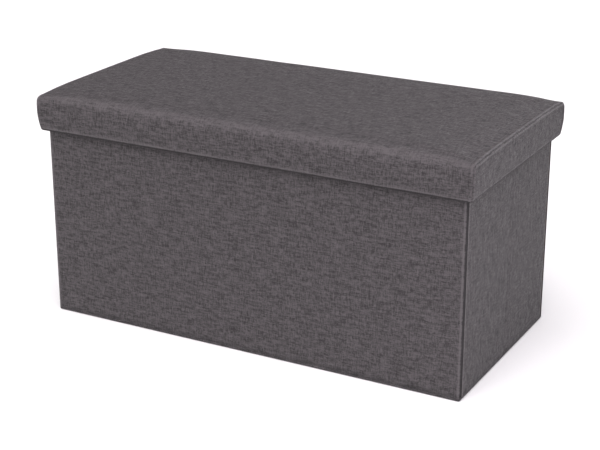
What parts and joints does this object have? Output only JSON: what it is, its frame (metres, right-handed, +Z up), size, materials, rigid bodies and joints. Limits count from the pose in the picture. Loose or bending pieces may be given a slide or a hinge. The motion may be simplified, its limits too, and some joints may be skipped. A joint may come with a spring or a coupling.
{
  "type": "folding storage bench",
  "caption": "Rectangular cloth-covered storage bench with a padded lift-off lid, a hollow box with inward-folding ends and a tip-up base board.",
  "frame": {"origin": "centre of the footprint, on the floor", "axes": "+X along the bench, -Y to the front, +Z up"},
  "size_m": [0.76, 0.38, 0.38],
  "materials": {
    "linen": "dark grey melange linen-look polyester, matte",
    "end_linen": "same cloth with the warp lying level, matte",
    "lining": "black non-woven polypropylene, point-bonded",
    "hardboard": "raw brown hardboard",
    "foam": "open-cell polyurethane foam"
  },
  "bodies": {
    "back_wall": {"back_wall_board": "hardboard", "back_wall_cover": "linen", "back_wall_lining": "lining", "bottom_cloth": "linen", "base_hinge_tape": "lining"},
    "base": {"base_board": "hardboard", "base_cover": "lining"},
    "front_wall": {"front_wall_board": "hardboard", "front_wall_cover": "linen", "front_wall_lining": "lining"},
    "left_rear_end": {"left_rear_end_board": "hardboard", "left_rear_end_cover": "end_linen", "left_rear_end_lining": "lining"},
    "left_front_end": {"left_front_end_board": "hardboard", "left_front_end_cover": "end_linen", "left_front_end_lining": "lining"},
    "right_rear_end": {"right_rear_end_board": "hardboard", "right_rear_end_cover": "end_linen", "right_rear_end_lining": "lining"},
    "right_front_end": {"right_front_end_board": "hardboard", "right_front_end_cover": "end_linen", "right_front_end_lining": "lining"},
    "lid": {"lid_back_skirt_board": "hardboard", "lid_board": "hardboard", "lid_foam": "foam", "lid_front_skirt_board": "hardboard", "lid_left_end_cover": "end_linen", "lid_left_skirt_board": "hardboard", "lid_lining": "lining", "lid_right_end_cover": "end_linen", "lid_right_skirt_board": "hardboard", "lid_skirt_wadding": "foam", "lid_top_cover": "linen"}
  },
  "joints": [
    {"name": "lid_lift", "type": "slide", "parent": "back_wall", "child": "lid", "axis": [0, 0, 1], "range_m": [0, 0.3]},
    {"name": "base_flip", "type": "hinge", "parent": "back_wall", "child": "base", "pos_m": [0, 0.1706, 0.0048], "axis": [-1, 0, 0], "range_deg": [0, 90]},
    {"name": "fold", "type": "hinge", "parent": "back_wall", "child": "left_rear_end", "pos_m": [-0.3612, 0.1657, 0], "axis": [0, 0, 1], "range_deg": [0, 90]},
    {"name": "left_crease", "type": "hinge", "parent": "left_rear_end", "child": "left_front_end", "pos_m": [-0.3675, 0, 0], "axis": [0, 0, 1], "range_deg": [-180, 0]},
    {"name": "left_front_corner", "type": "hinge", "parent": "left_front_end", "child": "front_wall", "pos_m": [-0.3612, -0.1657, 0], "axis": [0, 0, 1], "range_deg": [0, 90]},
    {"name": "right_rear_corner", "type": "hinge", "parent": "back_wall", "child": "right_rear_end", "pos_m": [0.3612, 0.1657, 0], "axis": [0, 0, 1], "range_deg": [-90, 0]},
    {"name": "right_crease", "type": "hinge", "parent": "right_rear_end", "child": "right_front_end", "pos_m": [0.3675, 0, 0], "axis": [0, 0, 1], "range_deg": [0, 180]}
  ],
  "couplings": [
    {"joint": "left_crease", "follows": "fold", "ratio": -2},
    {"joint": "left_front_corner", "follows": "fold", "ratio": 1},
    {"joint": "right_rear_corner", "follows": "fold", "ratio": -1},
    {"joint": "right_crease", "follows": "fold", "ratio": 2}
  ]
}
